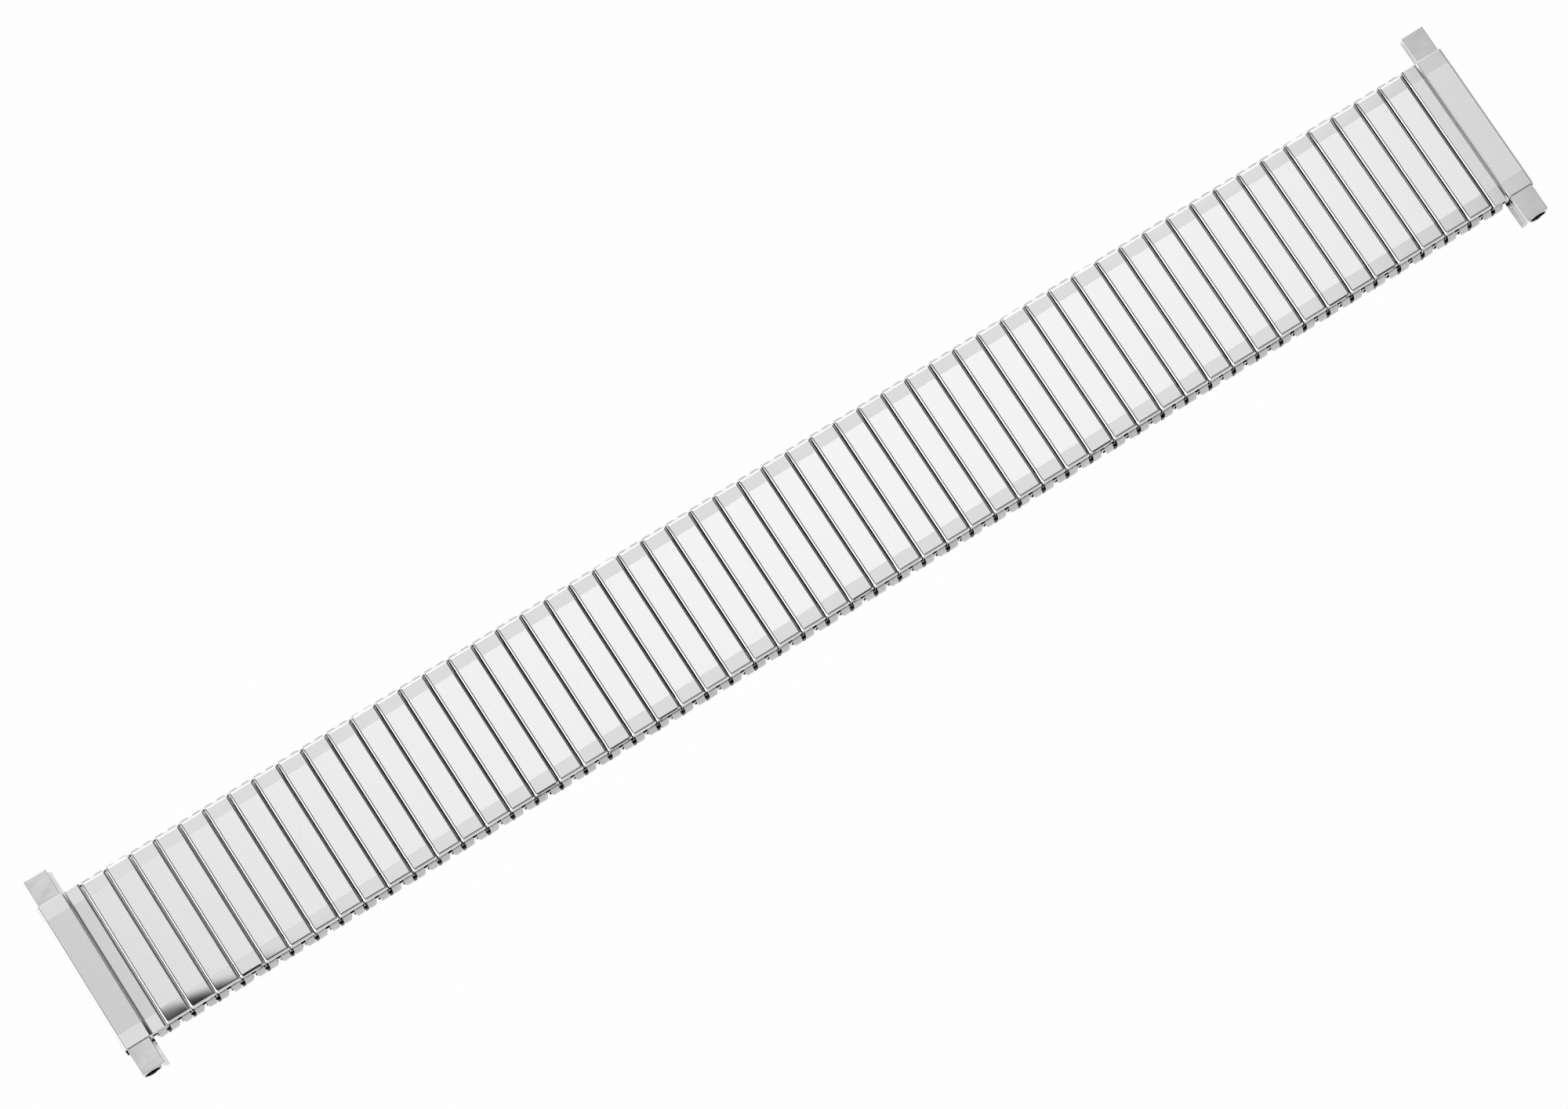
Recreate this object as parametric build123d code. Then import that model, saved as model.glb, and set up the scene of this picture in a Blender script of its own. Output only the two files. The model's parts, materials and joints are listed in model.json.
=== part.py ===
from build123d import *
import os

# Expansion watch band of stainless steel, laid out flat.
#
# Two rows of hollow links lie on each other, half a pitch apart. A staple at each
# side of the band joins every top link to both bottom links under it: one leg goes
# into the top link's end, the other into the bottom link's end, and the web shows
# outside as a small round lobe. A bowed leaf spring in every link bears on the
# four legs inside it. Pulling the band tilts the staples against the springs, so
# the links part, and letting go draws them together again.
#
# Each end has a folded cover with half a top link in front of it. Two rolled tubes
# slide out of the cover to span the watch's lugs, and a spring bar goes through them.
#
# The frame: X along the band, Y across it, Z up. The origin is under the middle of
# the band, on the surface that it lies on. All sizes are in millimetres.

# The chain of links
PITCH = 2.55                    # from one top link to the next
LINK_GAP = 0.11                 # between neighbours of one row
LINK_LENGTH = 15.0              # across the band
SEGMENTS = 11                   # stiff runs of links that the joints lie between
LINKS_PER_SEGMENT = 5           # top links in a run

# Walls and heights of the links
SIDE_WALL = 0.12
LOWER_HEIGHT = 1.22
LOWER_WALL = 0.18               # floor and roof of a bottom link
ROW_GAP = 0.03                  # between the two rows
UPPER_HEIGHT = 1.35
UPPER_FLOOR = 0.18
UPPER_ROOF = 0.45               # the sleeve's roof and the cap on it
UPPER_EDGE = 0.15               # slope of a top link's long edges, along X
UPPER_EDGE_DROP = 0.12          # and along Z
LOWER_EDGE = 0.16               # slope of a bottom link's lower long edges

# The staples
STAPLE_THICKNESS = 0.32
LEG_CLEARANCE = 0.03            # between a leg and the link's walls
LEG_REACH = 3.6                 # of a leg into its link
WEB_CLEARANCE = 0.08            # between a staple's web and the links' ends
WEB_EDGE = 0.22                 # cut of the web's lower outer corner

# The leaf springs
SPRING_THICKNESS = 0.12
SPRING_SIDE_CLEARANCE = 0.10
SPRING_INSET = 0.50             # from the link's end
SPRING_CLEARANCE = 0.02         # to the legs and to the wall that it bears on

# The end covers, measured from the last bottom link's pitch line
COVER_OVERHANG = 0.10           # past the links' ends, across the band
COVER_START = 0.35              # where the cover's inner wall begins
COVER_DEPTH = 2.75              # along the band
COVER_BASE = 0.12               # its underside above the surface
COVER_TOP = 2.80
COVER_WALL = 0.20
COVER_TOP_EDGE = 0.18
COVER_LOWER_EDGE = 0.25
COVER_FLOOR_TIP = 0.95          # where the folded floor ends
HALF_LINK_ROOF = 0.40
VALLEY_WIDTH = 0.15             # groove between the half link and the cover
VALLEY_DEPTH = 0.13
VALLEY_RISE = 0.12

# The sliding end tubes
TUBE_CLEARANCE = 0.05           # between a tube and its cover
TUBE_LENGTH = 7.3
TUBE_OUT = 2.7                  # how far a tube stands out as the band lies
TUBE_SHEET = 0.22
BORE_RADIUS = 0.80              # for a spring bar of 1.5 mm
CURL_WALL = 0.15                # of the rolled sheet round the bore
BORE_HEIGHT = 1.45              # of its axis above the surface
FOOT_TOP = 1.15                 # where the inner wall starts to flare
FOOT_LOW = 0.68
FOOT_REACH = 0.38               # of the flared foot towards the band

# Worked out from the sizes above
LINK_WIDTH = PITCH - LINK_GAP
CAVITY_WIDTH = LINK_WIDTH - 2 * SIDE_WALL
UPPER_BASE = LOWER_HEIGHT + ROW_GAP
UPPER_TOP = UPPER_BASE + UPPER_HEIGHT
UPPER_CEILING = UPPER_TOP - UPPER_ROOF
LOWER_CEILING = LOWER_HEIGHT - LOWER_WALL
TOP_LINKS = SEGMENTS * LINKS_PER_SEGMENT
BAND_END = (TOP_LINKS + 1) / 2 * PITCH      # pitch line beside the last bottom link
STAPLE_WIDTH = CAVITY_WIDTH - PITCH / 2 - 2 * LEG_CLEARANCE
STAPLE_TOP = UPPER_CEILING - LEG_CLEARANCE
STAPLE_BASE = LOWER_WALL + LEG_CLEARANCE
HALF_LINK_TOP = UPPER_CEILING + HALF_LINK_ROOF
COVER_LENGTH = LINK_LENGTH + 2 * COVER_OVERHANG
COVER_INNER = BAND_END + COVER_START
COVER_OUTER = COVER_INNER + COVER_DEPTH


def face_of(points):
    return make_face(Polyline(*points, close=True))


def across(section, length):
    """A section in X and Z, drawn out across the band."""
    return extrude(Plane.XZ * section, amount=length / 2, both=True)


def along(section, width):
    """A section in Y and Z, drawn out along the band."""
    return extrude(Plane.YZ * section, amount=width / 2, both=True)


def rectangle(x_low, x_high, z_low, z_high):
    return face_of([(x_low, z_low), (x_high, z_low), (x_high, z_high), (x_low, z_high)])


def top_link():
    """A top link: a flat sleeve with sloped long edges, open at both ends."""
    half = LINK_WIDTH / 2
    outline = face_of([
        (-half, UPPER_BASE),
        (half, UPPER_BASE),
        (half, UPPER_TOP - UPPER_EDGE_DROP),
        (half - UPPER_EDGE, UPPER_TOP),
        (UPPER_EDGE - half, UPPER_TOP),
        (-half, UPPER_TOP - UPPER_EDGE_DROP),
    ])
    cavity = rectangle(
        -CAVITY_WIDTH / 2, CAVITY_WIDTH / 2, UPPER_BASE + UPPER_FLOOR, UPPER_CEILING
    )
    return across(outline - cavity, LINK_LENGTH)


def bottom_link():
    """A bottom link: the same sleeve with sloped lower edges, kind to the wrist."""
    half = LINK_WIDTH / 2
    outline = face_of([
        (LOWER_EDGE - half, 0),
        (half - LOWER_EDGE, 0),
        (half, LOWER_EDGE),
        (half, LOWER_HEIGHT),
        (-half, LOWER_HEIGHT),
        (-half, LOWER_EDGE),
    ])
    cavity = rectangle(-CAVITY_WIDTH / 2, CAVITY_WIDTH / 2, LOWER_WALL, LOWER_CEILING)
    return across(outline - cavity, LINK_LENGTH)


def staple(side):
    """A staple on one side of the band, +1 or -1: two legs and the web outside."""
    inner = LINK_LENGTH / 2 + WEB_CLEARANCE
    outer = inner + STAPLE_THICKNESS
    tip = LINK_LENGTH / 2 - LEG_REACH
    outline = [
        (tip, STAPLE_TOP),
        (outer, STAPLE_TOP),
        (outer, STAPLE_BASE + WEB_EDGE),
        (outer - WEB_EDGE, STAPLE_BASE),
        (tip, STAPLE_BASE),
        (tip, STAPLE_BASE + STAPLE_THICKNESS),
        (inner, STAPLE_BASE + STAPLE_THICKNESS),
        (inner, STAPLE_TOP - STAPLE_THICKNESS),
        (tip, STAPLE_TOP - STAPLE_THICKNESS),
    ]
    return along(face_of([(side * y, z) for y, z in outline]), STAPLE_WIDTH)


def leaf_spring(end_height, middle_height):
    """A leaf spring bowed from its ends to its middle. Both heights are undersides."""
    end = LINK_LENGTH / 2 - SPRING_INSET
    outline = [
        (-end, end_height),
        (0, middle_height),
        (end, end_height),
        (end, end_height + SPRING_THICKNESS),
        (0, middle_height + SPRING_THICKNESS),
        (-end, end_height + SPRING_THICKNESS),
    ]
    return along(face_of(outline), CAVITY_WIDTH - 2 * SPRING_SIDE_CLEARANCE)


def top_spring():
    """It bears on the top link's floor and lifts the legs above it."""
    leg_underside = STAPLE_TOP - STAPLE_THICKNESS
    return leaf_spring(
        leg_underside - SPRING_CLEARANCE - SPRING_THICKNESS,
        UPPER_BASE + UPPER_FLOOR + SPRING_CLEARANCE,
    )


def bottom_spring():
    """It bears on the bottom link's ceiling and presses the legs below it down."""
    leg_top = STAPLE_BASE + STAPLE_THICKNESS
    return leaf_spring(
        leg_top + SPRING_CLEARANCE,
        LOWER_CEILING - SPRING_CLEARANCE - SPRING_THICKNESS,
    )


def end_cover():
    """The right end: a folded box, open below on the band's side, and its half link."""
    start = BAND_END - (PITCH - LINK_GAP) / 2
    inside_low = COVER_BASE + COVER_WALL
    inside_high = COVER_TOP - COVER_WALL
    inside_near = COVER_INNER + COVER_WALL
    inside_far = COVER_OUTER - COVER_WALL
    outline = face_of([
        (start, UPPER_BASE),
        (start, HALF_LINK_TOP - UPPER_EDGE_DROP),
        (start + UPPER_EDGE, HALF_LINK_TOP),
        (COVER_INNER - VALLEY_WIDTH, HALF_LINK_TOP),
        (COVER_INNER, HALF_LINK_TOP - VALLEY_DEPTH),
        (COVER_INNER + VALLEY_RISE, COVER_TOP),
        (COVER_OUTER - COVER_TOP_EDGE, COVER_TOP),
        (COVER_OUTER, COVER_TOP - COVER_TOP_EDGE),
        (COVER_OUTER, COVER_BASE + COVER_LOWER_EDGE),
        (COVER_OUTER - COVER_LOWER_EDGE, COVER_BASE),
        (BAND_END + COVER_FLOOR_TIP, COVER_BASE),
        (BAND_END + COVER_FLOOR_TIP, inside_low),
        (inside_far, inside_low),
        (inside_far, inside_high),
        (inside_near, inside_high),
        (inside_near, UPPER_BASE),
    ])
    cavity = rectangle(
        start + SIDE_WALL,
        COVER_INNER - SIDE_WALL / 2,
        UPPER_BASE + UPPER_FLOOR,
        UPPER_CEILING,
    )
    return across(outline - cavity, COVER_LENGTH)


def end_tube():
    """A sliding tube of the right end: sheet rolled round the spring bar, with a
    flat top, an inner wall and a foot that flares towards the band."""
    near = COVER_INNER + COVER_WALL + TUBE_CLEARANCE
    far = COVER_OUTER - COVER_WALL - TUBE_CLEARANCE
    high = COVER_TOP - COVER_WALL - TUBE_CLEARANCE
    curl = BORE_RADIUS + CURL_WALL
    bore_x = far - curl
    section = (
        Pos(bore_x, BORE_HEIGHT) * Circle(curl)
        + rectangle(bore_x, far, BORE_HEIGHT, high)
        + rectangle(near, far, high - TUBE_SHEET, high)
        + rectangle(near, near + TUBE_SHEET, FOOT_TOP, high)
        + face_of([
            (near, FOOT_TOP),
            (near + TUBE_SHEET, FOOT_TOP),
            (near - FOOT_REACH + TUBE_SHEET, FOOT_LOW),
            (near - FOOT_REACH, FOOT_LOW),
        ])
        - Pos(bore_x, BORE_HEIGHT) * Circle(BORE_RADIUS)
    )
    return across(section, TUBE_LENGTH)


def save(name, solids):
    """One STEP file of separate solids."""
    flat = [solid for shape in solids for solid in shape.solids()]
    group = Compound(flat) if len(flat) > 1 else flat[0]
    export_step(group, os.path.join("parts", name + ".step"))


def place(shape, x):
    return Pos(x, 0, 0) * shape


def segment_links(segment):
    """The numbers of a segment's top links, counted from the middle of the band."""
    first = (segment - (SEGMENTS - 1) // 2) * LINKS_PER_SEGMENT - LINKS_PER_SEGMENT // 2
    return range(first, first + LINKS_PER_SEGMENT)


def build():
    os.makedirs("parts", exist_ok=True)
    upper, lower = top_link(), bottom_link()
    upper_spring, lower_spring = top_spring(), bottom_spring()
    staples = [staple(1), staple(-1)]
    quarter = PITCH / 4

    for segment in range(SEGMENTS):
        number = f"{segment + 1:02d}"
        links = segment_links(segment)
        tops = [link * PITCH for link in links]
        bottoms = [x + PITCH / 2 for x in tops[:-1]]
        joints = [x + side * quarter for x in tops for side in (-1, 1)]
        if segment == 0:
            bottoms.insert(0, -BAND_END + PITCH / 2)
            joints.insert(0, -BAND_END + quarter)
        if segment == SEGMENTS - 1:
            bottoms.append(BAND_END - PITCH / 2)
            joints.append(BAND_END - quarter)
        save(f"top_links_{number}", [place(upper, x) for x in tops])
        save(f"bottom_links_{number}", [place(lower, x) for x in bottoms])
        springs = [place(upper_spring, x) for x in tops]
        springs += [place(lower_spring, x) for x in bottoms]
        save(f"leaf_springs_{number}", springs)
        save(f"staples_{number}", [place(s, x) for x in joints for s in staples])
        if segment < SEGMENTS - 1:
            x = tops[-1] + PITCH / 2
            save(f"bridge_link_{number}", [place(lower, x), place(lower_spring, x)])

    cover = end_cover()
    tube = end_tube()
    tube_y = COVER_LENGTH / 2 + TUBE_OUT - TUBE_LENGTH / 2
    for end, flip in (("left", True), ("right", False)):
        pieces = {f"end_cover_{end}": cover}
        for side, sign in (("front", -1), ("back", 1)):
            pieces[f"end_tube_{end}_{side}"] = Pos(0, sign * tube_y, 0) * tube
        for name, piece in pieces.items():
            save(name, [mirror(piece, about=Plane.YZ) if flip else piece])

    print("length", round(2 * COVER_OUTER, 3), "staple width", round(STAPLE_WIDTH, 4))
    print("bore x", round(COVER_OUTER - COVER_WALL - TUBE_CLEARANCE - BORE_RADIUS - CURL_WALL, 4))
    print("tube middle y", round(tube_y, 4), "band end", round(BAND_END, 4))


build()
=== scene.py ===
import json
import math

import bmesh
import bpy
from mathutils import Matrix, Vector


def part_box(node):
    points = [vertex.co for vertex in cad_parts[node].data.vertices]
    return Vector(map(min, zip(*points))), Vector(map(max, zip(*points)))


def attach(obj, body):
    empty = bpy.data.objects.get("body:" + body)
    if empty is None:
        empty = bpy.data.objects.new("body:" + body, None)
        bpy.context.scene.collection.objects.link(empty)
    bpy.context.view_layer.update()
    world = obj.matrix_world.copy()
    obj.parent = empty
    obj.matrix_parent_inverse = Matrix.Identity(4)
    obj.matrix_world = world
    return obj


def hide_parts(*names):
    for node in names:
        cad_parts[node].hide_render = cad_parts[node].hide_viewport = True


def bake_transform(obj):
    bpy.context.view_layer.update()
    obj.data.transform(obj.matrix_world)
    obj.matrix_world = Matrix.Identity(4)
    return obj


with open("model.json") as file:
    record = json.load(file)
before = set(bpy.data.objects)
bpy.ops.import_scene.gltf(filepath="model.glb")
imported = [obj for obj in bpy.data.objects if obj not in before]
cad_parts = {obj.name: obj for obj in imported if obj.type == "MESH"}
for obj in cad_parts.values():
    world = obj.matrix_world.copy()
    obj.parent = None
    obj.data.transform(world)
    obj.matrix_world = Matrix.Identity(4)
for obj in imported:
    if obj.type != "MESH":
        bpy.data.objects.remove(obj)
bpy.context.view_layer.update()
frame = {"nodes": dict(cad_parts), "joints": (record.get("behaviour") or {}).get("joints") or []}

MM = 0.001
NEAR = 0.01 * MM                # two places this close are the same
MOSTLY = 0.9                    # the least share of a direction that runs along an axis
MERGE = 0.001 * MM              # corners this close are joined

# The chain, from the frame: five top links lie between two neighbouring flex hinges
SEGMENTS = 11
LINKS_PER_SEGMENT = 5
MIDDLE = (SEGMENTS + 1) // 2
HINGES = {j["name"]: j["pos_m"][0] for j in frame["joints"] if j["type"] == "hinge"}
PITCH = (HINGES["flex_07"] - HINGES["flex_06"]) / LINKS_PER_SEGMENT
LINK_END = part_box("top_links_06")[1].y          # half a link's length, across the band
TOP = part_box("top_links_06")[1].z
ROW_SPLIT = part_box("top_links_06")[0].z
COVER_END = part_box("end_cover_right")[1].y
COVER_ROOF = 2.4 * MM           # above this lie only the roofs of a cover and its half link

# Finishes, and painted shade
POLISHED_LENGTH = 1.5 * MM      # bright patch at each end of a cap
FLAT_NORMAL = 0.97              # a brushed face points up at least this much
# POLISHED_SHADE_TONE is painted shade: the polished ends and rounded edges of the caps and covers
# are coloured darker than the brushed tops, in place of the darker reflection of the same steel
BRUSHED_TONE, POLISHED_SHADE_TONE, COVER_TONE = 0.955, 0.745, 0.82
# SHADE_TONE is painted shade: a near-black colour for the walls between the links, the insides of
# the links and the tabs, where shade falls
DRAWN_TONE, STAPLE_TONE, TUBE_TONE, SPRING_TONE, SHADE_TONE = 0.78, 0.50, 0.72, 0.55, 0.03
STEEL_TINT = (1.0, 1.0, 1.005)
CAP_TINT = (1.0, 1.0, 1.003)
ANISOTROPY = 0.95               # of the brushing
STREAK_ACROSS = 12000           # streaks per metre across the brushing
STREAK_ALONG = 500
STREAK_TONE = 0.012             # lighter and darker
STREAK_DEPTH = 0.0003 * MM
BRUSHED_ROUGH = (0.27, 0.30)
POLISHED_ROUGH = (0.03, 0.06)
TUMBLED_ROUGH = (0.06, 0.16)
TUBE_ROUGH = (0.12, 0.18)
SPRING_ROUGH = (0.20, 0.35)
SHADE_ROUGH = (0.35, 0.50)
CAP_CLOUDS = 260                # patches of roughness per metre on the polished ends
SCUFFS = (900, 2600, 2600)      # per metre along X, Y and Z, on drawn and tumbled steel
SCUFF_DEPTH = 0.0004 * MM
CLOUDS = 350
CLOUD_TONE = 0.03
NOISE = (0.3, 0.7)              # a noise pattern lies mostly between these
STREAK_NOISE = (0.25, 0.75)     # and these make a pattern softer
SCUFF_NOISE = (0.35, 0.75)

# Rounded edges
SHARP = math.radians(20)        # edges bent more than this are rounded
FLAT = math.radians(1)          # faces bent less than this are joined
CAP_DEPTH = 0.2 * MM            # the cap's edges lie this far under the top at most
SLEEVE_CORNERS = 0.5 * MM       # upright corners are rounded above this height of a link
CAP_END_RADIUS = 0.26 * MM      # where the cap bends down over the link's end
CAP_CORNER_RADIUS = 0.10 * MM
CAP_SIDE_RADIUS = 0.11 * MM     # where the top turns into the sloping long edge
CAP_LIP_RADIUS = 0.04 * MM
CAP_END_DROP = 0.09 * MM        # of a polished end, so that it catches other light
COVER_END_DROP = 0.03 * MM
SLEEVE_RADIUS = 0.015 * MM      # of a top link's other edges
SHEET_RADIUS = 0.05 * MM
COVER_RADIUS = 0.05 * MM
TUBE_RADIUS = 0.06 * MM
ROUND_STEPS = 4

# A tab in the middle of each lower link's end, between its two staples; it takes the near-black
# painted shade of the slot
TAB_WIDTH = 0.34 * MM
TAB_OUT = 0.26 * MM
TAB_LOW, TAB_HIGH = 0.20 * MM, 1.10 * MM

# Walls that lie in the shade between the links, which get a near-black painted shade
TOWARDS_LEFT, TOWARDS_RIGHT = -0.9, 0.75
INSIDE_LOW, INSIDE_HIGH = 0.1 * MM, 1.1 * MM    # heights of a link's inside, in its row
TAB_START = 0.02 * MM           # a face this far past the links' ends is a tab's

# The staples, whose webs bulge out of the band's sides
STAPLE_LOW, STAPLE_HIGH = (c.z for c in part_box("staples_06"))
STAPLE_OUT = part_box("staples_06")[1].y
STAPLE_REACH = 3.6 * MM         # of a leg into its link
STAPLE_TIP = LINK_END - STAPLE_REACH
STAPLE_THICKNESS = 0.32 * MM
STAPLE_WIDTH = 0.865 * MM
STAPLE_BULGE = 0.40 * MM        # of the web, from where the legs' straight part ends
STAPLE_SHOULDER = 0.50 * MM     # roundness of the web's lower corner
SHOULDER_START = 0.35           # where it starts, as a share of the web's upper half
STAPLE_EDGE = 0.13 * MM
EDGE_STEPS = 3
BELLY_HEIGHT = 0.38             # where the web stands out most, as a share of its height
BACK_POWER = 1.5                # flattens the web above that
WEB_STEPS = 14

# The camera, fitted to the link seams in the photograph
FRAME_WIDTH = 2000
FOCAL_PIXELS = 9305
SENSOR = 36
TURN_Z, TURN_Y, TURN_X = 31.60, 7.16, -13.12
OFFSET = Vector((0.865, 1.174, -653.05)) * MM
CLIP_START = 10 * MM

# The studio. Its light goes by the distance of a direction's (x, y) from straight overhead
FLOOR = -60 * MM                # low enough for the band bent to a ring
FLOOR_SIZE = 4
FLOOR_TONE = 0.9
FLOOR_GLOW = 0.97               # the rest is lit by the studio, and takes the shadow
OVERHEAD = 0.96
WALLS = 2.65
WALLS_FROM, WALLS_FULL = 0.40, 0.70
LOW_CENTRE = -0.15              # the left wall stays bright lower down than the others
LOW_FROM, LOW_FULL = 0.77, 0.92
LOW_LIGHT = 0.40                # share of the walls' light that is left near the horizon
SPOT_POWER = 4                  # a dark place's outline: 2 is round, and more is squarer
# Dark places, as (x, y) of the middle, two radii, softness and share of the light left
DARK_SPOTS = (
    (-0.2338, -0.10, 0.285, 0.245, 0.025, 0.03),
    (0.05, -0.38, 0.42, 0.32, 0.10, 0.10),
    (-0.44, 0.36, 0.415, 0.50, 0.05, 0.13),
    (0.0, -1.05, 1.2, 0.35, 0.05, 0.45),
    (0.70, 0.05, 0.435, 0.62, 0.17, 0.12),
)


# Mesh work

def clean_copy(node):
    """A CAD node's mesh with its corners joined and its flat faces whole."""
    bm = bmesh.new()
    bm.from_mesh(frame["nodes"][node].data)
    bmesh.ops.remove_doubles(bm, verts=bm.verts, dist=MERGE)
    bmesh.ops.dissolve_limit(bm, angle_limit=FLAT, verts=bm.verts, edges=bm.edges)
    return bm


def rounded(name, bm, largest, radius_of=None):
    """An object made of bm, with its sharp edges rounded, all alike or by radius_of(edge)."""
    weight = bm.edges.layers.float.new("bevel_weight_edge")
    for edge in bm.edges:
        if len(edge.link_faces) == 2 and edge.calc_face_angle(0) > SHARP:
            edge[weight] = radius_of(edge) / largest if radius_of else 1.0
    mesh = bpy.data.meshes.new(name)
    bm.to_mesh(mesh)
    bm.free()
    piece = bpy.data.objects.new(name, mesh)
    bpy.context.scene.collection.objects.link(piece)
    bevel = piece.modifiers.new("bevel", "BEVEL")
    bevel.width = largest
    bevel.segments = ROUND_STEPS
    bevel.limit_method = "WEIGHT"
    bevel.use_clamp_overlap = False
    for face in mesh.polygons:
        face.use_smooth = True
    normals = piece.modifiers.new("normals", "WEIGHTED_NORMAL")
    normals.keep_sharp = True
    normals.weight = 100
    finished = bpy.data.meshes.new_from_object(
        piece.evaluated_get(bpy.context.evaluated_depsgraph_get())
    )
    piece.modifiers.clear()
    piece.data = finished
    return piece


def dress(piece, material, slot, *nodes, gap_shade=None, in_gap_shade=None):
    """Gives a piece its materials, and puts it in place of the CAD nodes."""
    piece.data.materials.clear()
    piece.data.materials.append(material)
    # The second material is painted shade, a near-black colour on the faces that the given test
    # picks
    if gap_shade:
        piece.data.materials.append(gap_shade)
        for face in piece.data.polygons:
            face.material_index = int(in_gap_shade(face.center, face.normal))
    if nodes:
        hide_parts(*nodes)


# Materials

def nodes_of(name):
    material = bpy.data.materials.new(name)
    material.use_nodes = True
    tree = material.node_tree
    tree.nodes.clear()
    out = tree.nodes.new("ShaderNodeOutputMaterial")
    shader = tree.nodes.new("ShaderNodeBsdfPrincipled")
    shader.inputs["Metallic"].default_value = 1.0
    tree.links.new(shader.outputs[0], out.inputs["Surface"])
    return material, tree, shader


def feed(tree, socket, value):
    if isinstance(value, bpy.types.NodeSocket):
        tree.links.new(value, socket)
    else:
        socket.default_value = value


def calc(tree, operation, a, b=0.0):
    node = tree.nodes.new("ShaderNodeMath")
    node.operation = operation
    feed(tree, node.inputs[0], a)
    feed(tree, node.inputs[1], b)
    return node.outputs[0]


def ramp(tree, value, low, high, at_low=0.0, at_high=1.0):
    """value from low to high turns smoothly into at_low to at_high."""
    node = tree.nodes.new("ShaderNodeMapRange")
    node.interpolation_type = "SMOOTHSTEP"
    feed(tree, node.inputs["Value"], value)
    node.inputs["From Min"].default_value = low
    node.inputs["From Max"].default_value = high
    feed(tree, node.inputs["To Min"], at_low)
    feed(tree, node.inputs["To Max"], at_high)
    return node.outputs[0]


def place(tree):
    """Object coordinates, and the surface's own direction."""
    node = tree.nodes.new("ShaderNodeTexCoord")
    return node.outputs["Object"], node.outputs["Normal"]


def split(tree, vector):
    node = tree.nodes.new("ShaderNodeSeparateXYZ")
    tree.links.new(vector, node.inputs[0])
    return node.outputs


def noise(tree, vector, scale, detail=3.0, roughness=0.5):
    mapping = tree.nodes.new("ShaderNodeMapping")
    mapping.inputs["Scale"].default_value = scale
    tree.links.new(vector, mapping.inputs["Vector"])
    node = tree.nodes.new("ShaderNodeTexNoise")
    node.inputs["Scale"].default_value = 1.0
    node.inputs["Detail"].default_value = detail
    node.inputs["Roughness"].default_value = roughness
    tree.links.new(mapping.outputs[0], node.inputs["Vector"])
    return node.outputs["Fac"]


def bump(tree, shader, height, distance):
    node = tree.nodes.new("ShaderNodeBump")
    node.inputs["Strength"].default_value = 1.0
    node.inputs["Distance"].default_value = distance
    tree.links.new(height, node.inputs["Height"])
    tree.links.new(node.outputs[0], shader.inputs["Normal"])


def grey(tree, value, tint):
    node = tree.nodes.new("ShaderNodeCombineColor")
    for socket, share in zip(node.inputs, tint):
        feed(tree, socket, calc(tree, "MULTIPLY", value, share))
    return node.outputs[0]


def brushed_cap(name, end, brushed):
    """Brushed along the band in the middle, polished at both ends and on the edges, which are
    coloured darker as a painted shade of their darker reflection.
    """
    material, tree, shader = nodes_of(name)
    at, facing = place(tree)
    middle = calc(tree, "LESS_THAN", calc(tree, "ABSOLUTE", split(tree, at)[1]),
                  end - POLISHED_LENGTH)
    flat = ramp(tree, split(tree, facing)[2], FLAT_NORMAL, 1.0)
    mask = calc(tree, "MULTIPLY", middle, flat)
    streak = noise(tree, at, (STREAK_ALONG, STREAK_ACROSS, STREAK_ACROSS))
    cloud = noise(tree, at, [CAP_CLOUDS] * 3, detail=2.0)
    streaky = ramp(tree, streak, *NOISE, -STREAK_TONE, STREAK_TONE)
    tone = calc(tree, "ADD", brushed, streaky)
    # painted shade: the polished ends and edges take the darker polished tone
    shade = ramp(tree, mask, 0.0, 1.0, POLISHED_SHADE_TONE, tone)
    feed(tree, shader.inputs["Base Color"], grey(tree, shade, CAP_TINT))
    rough = ramp(tree, streak, *STREAK_NOISE, *BRUSHED_ROUGH)
    smooth = ramp(tree, cloud, *NOISE, *POLISHED_ROUGH)
    feed(tree, shader.inputs["Roughness"], ramp(tree, mask, 0.0, 1.0, smooth, rough))
    bump(tree, shader, calc(tree, "MULTIPLY", streak, mask), STREAK_DEPTH)
    shader.inputs["Anisotropic"].default_value = ANISOTROPY
    across = tree.nodes.new("ShaderNodeTangent")
    across.direction_type = "RADIAL"
    across.axis = "X"
    tree.links.new(across.outputs[0], shader.inputs["Tangent"])
    return material


def polished_steel(name, tone, rough=TUMBLED_ROUGH):
    """Drawn and tumbled steel, with faint scuffs; also the near-black painted shade between the
    links.
    """
    material, tree, shader = nodes_of(name)
    at, _ = place(tree)
    scuff = noise(tree, at, SCUFFS, detail=4.0, roughness=0.6)
    cloud = noise(tree, at, [CLOUDS] * 3, detail=2.0)
    shade = calc(tree, "ADD", tone, ramp(tree, cloud, *NOISE, -CLOUD_TONE, CLOUD_TONE))
    feed(tree, shader.inputs["Base Color"], grey(tree, shade, STEEL_TINT))
    feed(tree, shader.inputs["Roughness"], ramp(tree, scuff, *SCUFF_NOISE, *rough))
    bump(tree, shader, scuff, SCUFF_DEPTH)
    return material


# The pieces

def cap_radius(edge):
    """The radius of a top link's edge, by where it lies and which way it runs."""
    a, b = (vert.co for vert in edge.verts)
    middle, direction = (a + b) / 2, (b - a).normalized()
    at_end = abs(middle.y) > LINK_END - NEAR
    upright, lengthwise = (abs(part) > MOSTLY for part in (direction.z, direction.y))
    if at_end and middle.z > TOP - CAP_DEPTH:
        return CAP_END_RADIUS
    if at_end and upright and middle.z > ROW_SPLIT + SLEEVE_CORNERS:
        return CAP_CORNER_RADIUS
    if lengthwise and middle.z > TOP - 2 * NEAR:
        return CAP_SIDE_RADIUS
    if lengthwise and middle.z > TOP - CAP_DEPTH:
        return CAP_LIP_RADIUS
    return SLEEVE_RADIUS


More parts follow.
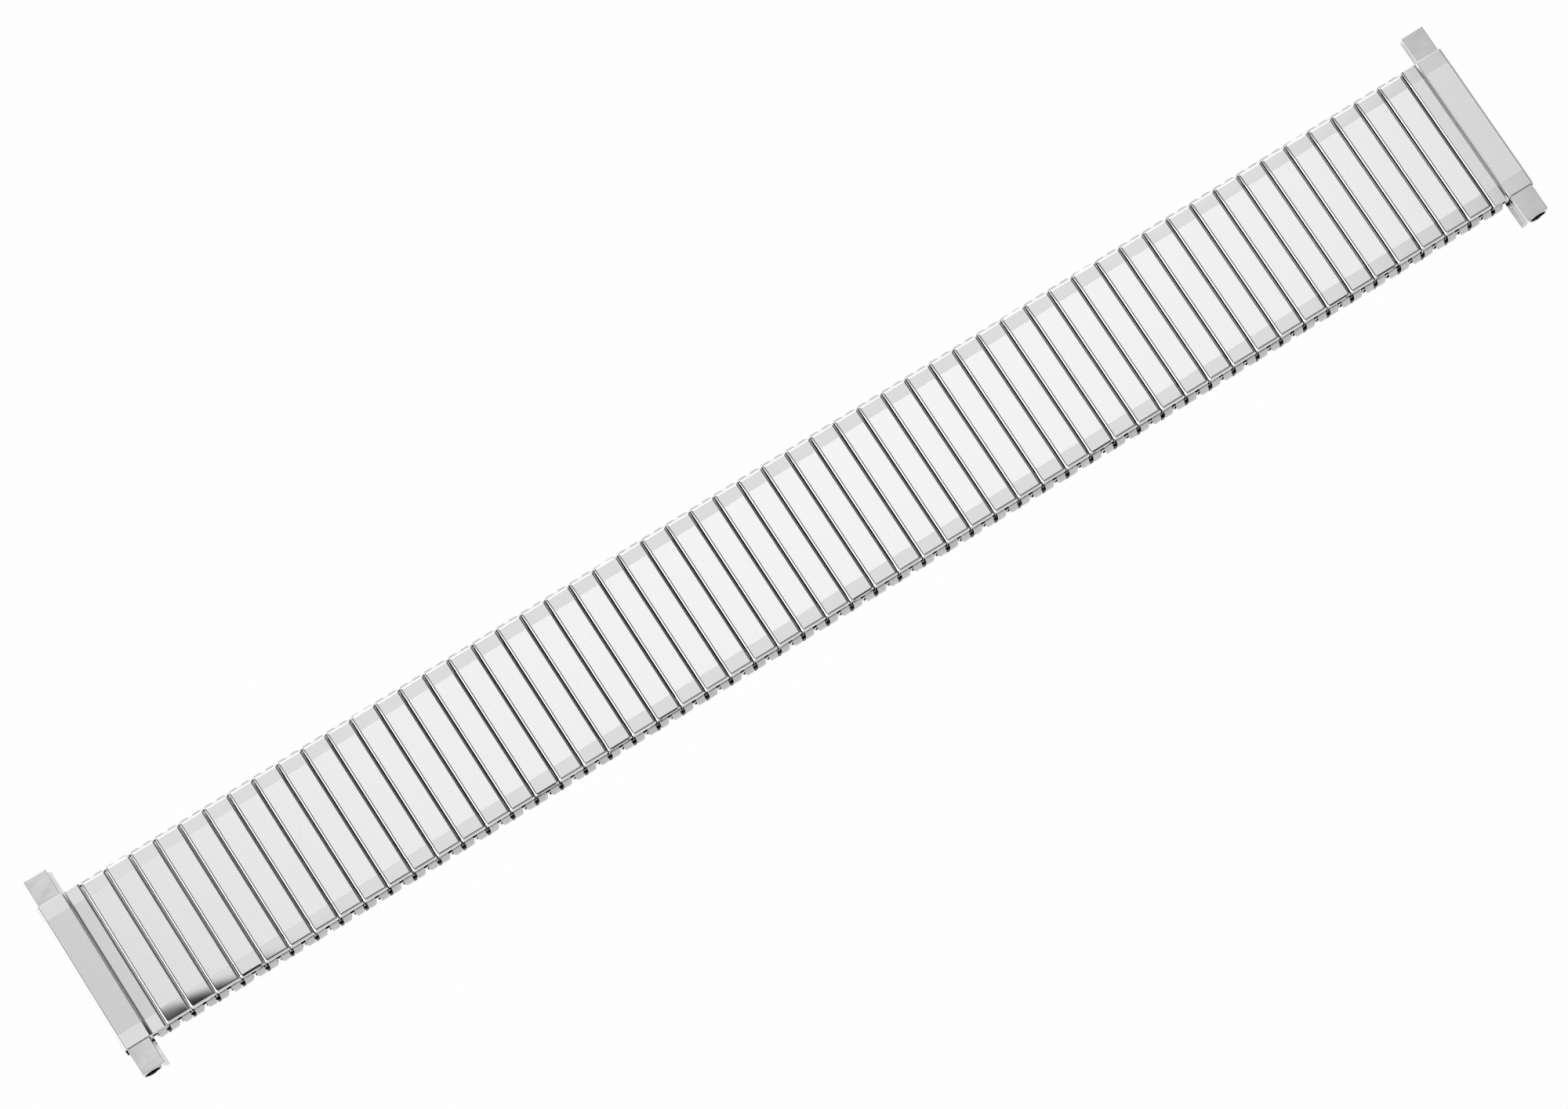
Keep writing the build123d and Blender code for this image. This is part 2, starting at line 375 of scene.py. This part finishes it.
def web_path():
    """Places (y, z) and directions (y, z) along a staple's middle line, from tip to tip."""
    high = STAPLE_HIGH - STAPLE_THICKNESS / 2
    low = STAPLE_LOW + STAPLE_THICKNESS / 2
    belly = low + BELLY_HEIGHT * (high - low)
    root = STAPLE_OUT - STAPLE_THICKNESS / 2 - STAPLE_BULGE
    places = [(STAPLE_TIP, high)]
    for step in range(WEB_STEPS + 1):
        turn = math.pi / 2 - math.pi * step / WEB_STEPS
        rise, power = (high - belly, BACK_POWER) if turn > 0 else (belly - low, 1.0)
        out = max(0.0, math.cos(turn)) ** power
        places.append((root + STAPLE_BULGE * out, belly + rise * math.sin(turn)))
    places.append((STAPLE_TIP, low))
    path = [(*places[0], 1.0, 0.0)]
    for before, (y, z), after in zip(places, places[1:], places[2:]):
        dy, dz = after[0] - before[0], after[1] - before[1]
        size = math.hypot(dy, dz)
        path.append((y, z, dy / size, dz / size))
    path.append((*places[-1], -1.0, 0.0))
    return path


def section(narrow):
    """The strip's rounded section: (along the band, through the thickness)."""
    x, t, r = STAPLE_WIDTH / 2, STAPLE_THICKNESS / 2, STAPLE_EDGE
    corners = ((x - r, t - r, 0), (r - x + narrow, t - r, 90),
               (r - x + narrow, r - t, 180), (x - r, r - t, 270))
    points = []
    for cx, ct, angle in corners:
        for part in range(EDGE_STEPS + 1):
            a = math.radians(angle + part * 90 / EDGE_STEPS)
            points.append((cx + r * math.cos(a), ct + r * math.sin(a)))
    return points


def add_staple(bm, x, side, slot):
    """A bent strip at x. Its web is straight beside the slot (+1 or -1 along X)."""
    rings = []
    lowest = STAPLE_LOW + STAPLE_THICKNESS / 2
    middle = (STAPLE_HIGH + STAPLE_LOW) / 2
    highest = middle + SHOULDER_START * (middle - lowest)
    for y, z, dy, dz in web_path():
        down = min(1.0, max(0.0, (highest - z) / (highest - lowest)))
        narrow = STAPLE_SHOULDER * (1 - math.sqrt(1 - down * down))
        ring = []
        for across, through in section(narrow):
            ring.append(bm.verts.new((
                x + slot * across, side * (y - dz * through), z + dy * through
            )))
        rings.append(ring)
    flip = side * slot > 0
    for ring, following in zip(rings, rings[1:]):
        for i in range(len(ring)):
            j = (i + 1) % len(ring)
            quad = [ring[i], ring[j], following[j], following[i]]
            bm.faces.new(quad if flip else quad[::-1])
    bm.faces.new(rings[0][::-1] if flip else rings[0])
    bm.faces.new(rings[-1] if flip else rings[-1][::-1])


def staple_piece(name, places, material):
    bm = bmesh.new()
    for x, slot in places:
        for side in (1, -1):
            add_staple(bm, x, side, slot)
    bmesh.ops.recalc_face_normals(bm, faces=bm.faces)
    mesh = bpy.data.meshes.new(name)
    bm.to_mesh(mesh)
    bm.free()
    for face in mesh.polygons:
        face.use_smooth = True
    piece = bpy.data.objects.new(name, mesh)
    bpy.context.scene.collection.objects.link(piece)
    mesh.materials.append(material)
    return piece


def make_staples(material):
    """A staple inside a segment rides on it. One at a joint, and one at each end of the band, is
    a piece of its own that rides on no body.
    """
    quarter = PITCH / 4
    reach = LINKS_PER_SEGMENT // 2
    low, high = (0, 0, STAPLE_LOW + STAPLE_THICKNESS), (0, 0, STAPLE_HIGH - STAPLE_THICKNESS)
    for k in range(1, SEGMENTS + 1):
        segment, node = f"segment_{k:02d}", f"staples_{k:02d}"
        centre = (k - MIDDLE) * LINKS_PER_SEGMENT * PITCH
        inside, crossing = [], []
        for link in range(-reach, reach + 1):
            for way in (-1, 1):
                spot = (centre + link * PITCH + way * quarter, way)
                beyond = k if way > 0 else k - 1
                if link * way == reach and 1 <= beyond < SEGMENTS:
                    crossing.append((spot, f"bridge_{beyond:02d}", high, low))
                else:
                    inside.append(spot)
        for way, last, end in ((-1, 1, "end_left"), (1, SEGMENTS, "end_right")):
            if k == last:
                spot = (centre + way * (reach + 1) * PITCH - way * quarter, -way)
                crossing.append((spot, end, low, high))
        piece = staple_piece(f"staple_lobes_{k:02d}", inside, material)
        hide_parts(node)
        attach(piece, segment)
        for number, (spot, other, start, end) in enumerate(crossing):
            piece = staple_piece(f"tilting_staples_{k:02d}_{number + 1}", [spot], material)
            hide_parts(node)
            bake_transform(piece)


def sloped_cap(node, end, roof, drop):
    """A node's mesh, its polished ends sloping down a little from a crisp border."""
    bm = clean_copy(node)
    start = end - POLISHED_LENGTH
    for side in (1, -1):
        bmesh.ops.bisect_plane(
            bm, geom=bm.verts[:] + bm.edges[:] + bm.faces[:], dist=MERGE,
            plane_co=(0, side * start, 0), plane_no=(0, 1, 0),
        )
    for vert in bm.verts:
        beyond = abs(vert.co.y) - start
        if beyond > NEAR and vert.co.z > roof:
            vert.co.z -= drop * beyond / POLISHED_LENGTH
    for edge in bm.edges:
        if all(abs(abs(vert.co.y) - start) < NEAR for vert in edge.verts):
            edge.smooth = False
    bm.normal_update()
    return bm


def lower_mesh(node, places):
    """A lower link's mesh, with a tab standing out of each end of the links at these x."""
    bm = clean_copy(node)
    height = TAB_HIGH - TAB_LOW
    for x in places:
        for side in (1, -1):
            tab = bmesh.ops.create_cube(bm, size=1)["verts"]
            bmesh.ops.scale(bm, vec=(TAB_WIDTH, 2 * TAB_OUT, height), verts=tab)
            spot = (x, side * LINK_END, TAB_LOW + height / 2)
            bmesh.ops.translate(bm, vec=spot, verts=tab)
    return bm


def in_gap(centre, normal):
    """A wall that faces the next link, a wall of a link's inside, or a tab: the faces that take
    the near-black painted shade.
    """
    if abs(centre.y) > LINK_END + TAB_START:
        return True
    below_cap = centre.z < TOP - CAP_DEPTH
    facing_along = normal.x < TOWARDS_LEFT or normal.x > TOWARDS_RIGHT
    row = 0.0 if centre.z < ROW_SPLIT - NEAR else ROW_SPLIT
    inside = row + INSIDE_LOW < centre.z < row + INSIDE_HIGH
    return below_cap and (facing_along or inside and abs(normal.z) > MOSTLY)


def make_links(cap, drawn, painted_gap_shade):
    for k in range(1, SEGMENTS + 1):
        node = f"top_links_{k:02d}"
        cap_mesh = sloped_cap(node, LINK_END, TOP - CAP_DEPTH, CAP_END_DROP)
        piece = rounded(f"cap_links_{k:02d}", cap_mesh, CAP_END_RADIUS, cap_radius)
        dress(piece, cap, "top_link_steel", node, gap_shade=painted_gap_shade, in_gap_shade=in_gap)
        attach(piece, f"segment_{k:02d}")
        node = f"bottom_links_{k:02d}"
        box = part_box(node)
        count = round((box[1].x - box[0].x) / PITCH)
        places = [box[0].x + PITCH * (i + 0.5) for i in range(count)]
        lower = lower_mesh(node, places)
        piece = rounded(f"lower_links_{k:02d}", lower, SHEET_RADIUS)
        dress(piece, drawn, "bottom_link_steel", node, gap_shade=painted_gap_shade, in_gap_shade=in_gap)
        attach(piece, f"segment_{k:02d}")
    for k in range(1, SEGMENTS):
        node = f"bridge_link_{k:02d}"
        joint = (k - MIDDLE + 0.5) * LINKS_PER_SEGMENT * PITCH
        lower = lower_mesh(node, [joint])
        piece = rounded(f"joining_link_{k:02d}", lower, SHEET_RADIUS)
        dress(piece, drawn, "bottom_link_steel", node, gap_shade=painted_gap_shade, in_gap_shade=in_gap)
        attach(piece, f"bridge_{k:02d}")


def make_ends(cover_material, tube_material):
    for end in ("left", "right"):
        node = f"end_cover_{end}"
        cover_mesh = sloped_cap(node, COVER_END, COVER_ROOF, COVER_END_DROP)
        piece = rounded(f"folded_cover_{end}", cover_mesh, COVER_RADIUS)
        dress(piece, cover_material, "cover_steel", node)
        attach(piece, f"end_{end}")
        for side in ("front", "back"):
            node = f"end_tube_{end}_{side}"
            piece = rounded(f"rolled_tube_{end}_{side}", clean_copy(node), TUBE_RADIUS)
            dress(piece, tube_material, "tube_steel", node)
            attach(piece, f"tube_{end}_{side}")


# Camera, floor and light

def make_camera():
    data = bpy.data.cameras.new("camera")
    data.sensor_width = SENSOR
    data.sensor_fit = "HORIZONTAL"
    data.lens = SENSOR * FOCAL_PIXELS / FRAME_WIDTH
    data.clip_start = CLIP_START
    camera = bpy.data.objects.new("camera", data)
    turn = (
        Matrix.Rotation(math.radians(TURN_Z), 3, "Z")
        @ Matrix.Rotation(math.radians(TURN_Y), 3, "Y")
        @ Matrix.Rotation(math.radians(TURN_X), 3, "X")
    )
    back = turn.transposed()
    camera.matrix_world = Matrix.Translation(back @ -OFFSET + Vector((0, 0, TOP))) @ back.to_4x4()
    bpy.context.scene.collection.objects.link(camera)
    bpy.context.scene.camera = camera


def make_floor():
    """White to the camera and in the steel, with the object's shadow, and clear from below."""
    bpy.ops.mesh.primitive_plane_add(size=FLOOR_SIZE)
    floor = bpy.context.object
    floor.name = "floor"
    floor.location.z = FLOOR
    material = bpy.data.materials.new("white_floor")
    material.use_nodes = True
    tree = material.node_tree
    tree.nodes.clear()
    out = tree.nodes.new("ShaderNodeOutputMaterial")
    diffuse = tree.nodes.new("ShaderNodeBsdfDiffuse")
    diffuse.inputs["Color"].default_value = (FLOOR_TONE, FLOOR_TONE, FLOOR_TONE, 1)
    glow = tree.nodes.new("ShaderNodeEmission")
    glow.inputs["Color"].default_value = (1, 1, 1, 1)
    path = tree.nodes.new("ShaderNodeLightPath")
    seen = calc(tree, "MAXIMUM", path.outputs["Is Camera Ray"], path.outputs["Is Glossy Ray"])
    mix = tree.nodes.new("ShaderNodeMixShader")
    feed(tree, mix.inputs[0], calc(tree, "MULTIPLY", seen, FLOOR_GLOW))
    tree.links.new(diffuse.outputs[0], mix.inputs[1])
    tree.links.new(glow.outputs[0], mix.inputs[2])
    clear = tree.nodes.new("ShaderNodeBsdfTransparent")
    sides = tree.nodes.new("ShaderNodeNewGeometry")
    one_sided = tree.nodes.new("ShaderNodeMixShader")
    tree.links.new(sides.outputs["Backfacing"], one_sided.inputs[0])
    tree.links.new(mix.outputs[0], one_sided.inputs[1])
    tree.links.new(clear.outputs[0], one_sided.inputs[2])
    tree.links.new(one_sided.outputs[0], out.inputs["Surface"])
    floor.data.materials.append(material)


def make_world():
    """A white studio with bright walls, and dark places that the polished steel shows."""
    world = bpy.data.worlds.new("studio")
    bpy.context.scene.world = world
    world.use_nodes = True
    tree = world.node_tree
    tree.nodes.clear()
    coordinates = tree.nodes.new("ShaderNodeTexCoord")
    x, y, z = split(tree, coordinates.outputs["Generated"])
    below = calc(tree, "LESS_THAN", z, 0.0)
    low_x = calc(tree, "SUBTRACT", x, LOW_CENTRE)
    from_zenith, from_low = (
        calc(tree, "SQRT", calc(tree, "ADD", calc(tree, "MULTIPLY", across, across),
                                calc(tree, "MULTIPLY", y, y)))
        for across in (x, low_x)
    )
    studio = calc(tree, "MULTIPLY",
                  ramp(tree, from_zenith, WALLS_FROM, WALLS_FULL, OVERHEAD, WALLS),
                  ramp(tree, from_low, LOW_FROM, LOW_FULL, 1.0, LOW_LIGHT))
    for cx, cy, rx, ry, soft, left in DARK_SPOTS:
        dx = calc(tree, "DIVIDE", calc(tree, "SUBTRACT", x, cx), rx)
        dy = calc(tree, "DIVIDE", calc(tree, "SUBTRACT", y, cy), ry)
        both = calc(tree, "ADD", calc(tree, "POWER", dx, SPOT_POWER),
                    calc(tree, "POWER", dy, SPOT_POWER))
        away = calc(tree, "POWER", both, 1 / SPOT_POWER)
        light = calc(tree, "MAXIMUM", ramp(tree, away, 1 - soft, 1 + soft, left, 1.0), below)
        studio = calc(tree, "MULTIPLY", studio, light)
    path = tree.nodes.new("ShaderNodeLightPath")
    seen = tree.nodes.new("ShaderNodeMix")
    seen.data_type = "FLOAT"
    feed(tree, seen.inputs[0], path.outputs["Is Camera Ray"])
    feed(tree, seen.inputs[2], studio)
    seen.inputs[3].default_value = 1.0
    background = tree.nodes.new("ShaderNodeBackground")
    background.inputs["Color"].default_value = (1, 1, 1, 1)
    feed(tree, background.inputs["Strength"], seen.outputs[0])
    out = tree.nodes.new("ShaderNodeOutputWorld")
    tree.links.new(background.outputs[0], out.inputs["Surface"])


make_camera()
make_floor()
make_world()
cap_steel = brushed_cap("brushed_cap_steel", LINK_END, BRUSHED_TONE)
cover_steel = brushed_cap("brushed_cover_steel", COVER_END, COVER_TONE)
drawn_steel = polished_steel("drawn_link_steel", DRAWN_TONE)
staple_steel = polished_steel("tumbled_staple_steel", STAPLE_TONE)
tube_steel = polished_steel("rolled_tube_steel", TUBE_TONE, TUBE_ROUGH)
spring_steel = polished_steel("leaf_spring_steel", SPRING_TONE, SPRING_ROUGH)
# painted shade: near-black colour for the walls between and inside the links, and for the tabs
gap_shade_steel = polished_steel("painted_shade_in_gaps", SHADE_TONE, SHADE_ROUGH)
make_links(cap_steel, drawn_steel, gap_shade_steel)
make_staples(staple_steel)
make_ends(cover_steel, tube_steel)
for k in range(1, SEGMENTS + 1):
    springs = frame["nodes"][f"leaf_springs_{k:02d}"]
    springs.data.materials.clear()
    springs.data.materials.append(spring_steel)

bpy.context.scene.view_settings.view_transform = "Standard"
